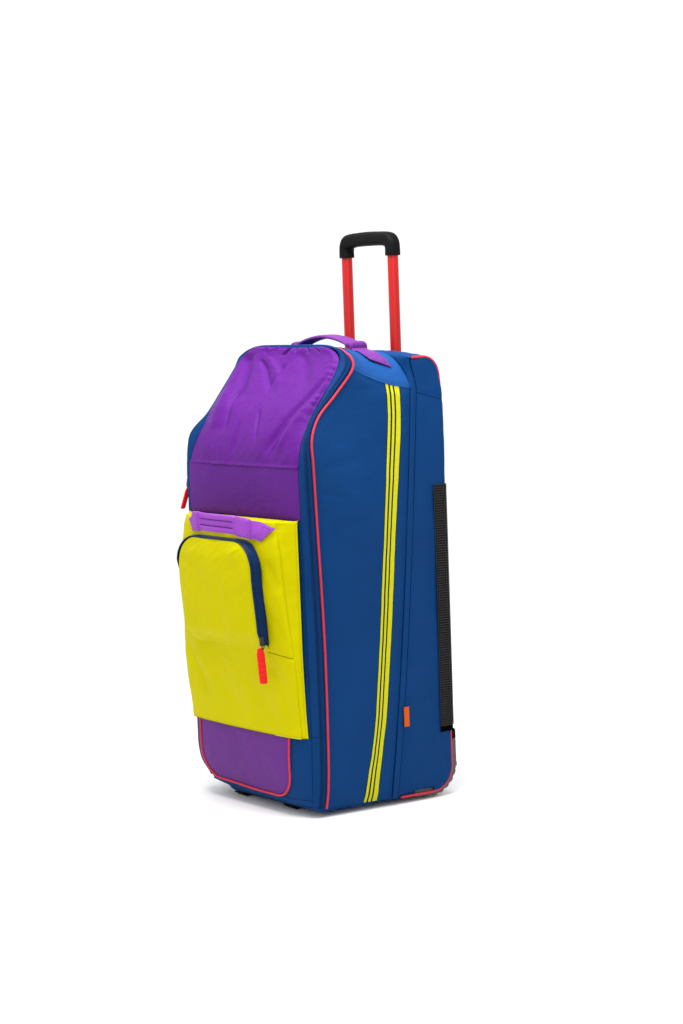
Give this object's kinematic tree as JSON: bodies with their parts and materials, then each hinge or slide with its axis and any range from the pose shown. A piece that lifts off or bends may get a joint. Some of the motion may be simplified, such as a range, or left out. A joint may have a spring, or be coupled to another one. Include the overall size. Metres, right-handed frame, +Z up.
{
  "type": "wheeled gear bag",
  "caption": "Tall soft gear bag on wheels with a sloping zipped front, an outer pocket, webbing handles and a telescopic pull handle.",
  "frame": {"origin": "middle of the bounding box, on the floor that the bag stands on", "axes": "+Z up, the front of the bag faces -Y and its right side, seen by the bag, faces +X when you look at the front with +Z up"},
  "size_m": [0.4292, 0.4151, 1.0775],
  "materials": {
    "blue_cloth": "woven coated polyester",
    "purple_cloth": "woven coated polyester",
    "purple_webbing": "padded webbing",
    "yellow_cloth": "woven coated polyester",
    "navy_zip": "zip tape with a coil",
    "red_piping": "covered cord",
    "red_pull": "moulded soft tab",
    "black_slider": "black coated",
    "black_mesh": "open mesh",
    "grey_plastic": "moulded",
    "black_plastic": "moulded",
    "wheel_rubber": "smooth tread",
    "steel": "plain",
    "sleeve_aluminium": "drawn",
    "red_tube": "red gloss paint",
    "orange_label": "woven tape"
  },
  "bodies": {
    "bag": {"front_frame": "blue_cloth", "front_panel_lower": "blue_cloth", "top_panel": "blue_cloth", "bottom_panel": "blue_cloth", "back_panel": "blue_cloth", "rear_top_panel": "blue_cloth", "side_panel_right": "blue_cloth", "side_panel_left": "blue_cloth", "rear_side_right": "blue_cloth", "rear_side_left": "blue_cloth", "front_panel_upper": "purple_cloth", "front_panel_middle": "purple_cloth", "front_patch": "purple_cloth", "top_handle": "purple_webbing", "front_handle": "purple_webbing", "top_handle_band_right": "purple_webbing", "top_handle_band_left": "purple_webbing", "front_handle_band_right": "purple_webbing", "front_handle_band_left": "purple_webbing", "pocket_tray": "yellow_cloth", "pouch_face": "yellow_cloth", "main_zip": "navy_zip", "pouch_zip": "navy_zip", "front_piping": "red_piping", "patch_piping": "red_piping", "rear_piping_right": "red_piping", "rear_piping_left": "red_piping", "pouch_pull": "red_pull", "frame_pull_upper": "red_pull", "frame_pull_lower": "red_pull", "pouch_slider": "black_slider", "frame_slider_upper": "black_slider", "frame_slider_lower": "black_slider", "vent_mesh_right": "black_mesh", "vent_mesh_left": "black_mesh", "wheel_guard_right": "grey_plastic", "wheel_guard_left": "grey_plastic", "guard_cap_right": "black_plastic", "guard_cap_left": "black_plastic", "skid_right": "black_plastic", "skid_left": "black_plastic", "axle_right": "steel", "axle_left": "steel", "pull_guide": "sleeve_aluminium", "side_label": "orange_label"},
    "pull_handle": {"pull_tube_right": "red_tube", "pull_tube_left": "red_tube", "pull_grip": "black_plastic"},
    "wheel_right": {"wheel_tyre_right": "wheel_rubber", "wheel_hub_right": "grey_plastic"},
    "wheel_left": {"wheel_tyre_left": "wheel_rubber", "wheel_hub_left": "grey_plastic"}
  },
  "joints": [
    {"name": "pull_slide", "type": "slide", "parent": "bag", "child": "pull_handle", "axis": [0, 0, 1], "range_m": [-0.165, 0]},
    {"name": "wheel_right_spin", "type": "hinge", "parent": "bag", "child": "wheel_right", "pos_m": [0.168, 0.1508, 0.042], "axis": [1, 0, 0], "continuous": true},
    {"name": "wheel_left_spin", "type": "hinge", "parent": "bag", "child": "wheel_left", "pos_m": [-0.168, 0.1508, 0.042], "axis": [1, 0, 0], "continuous": true}
  ]
}
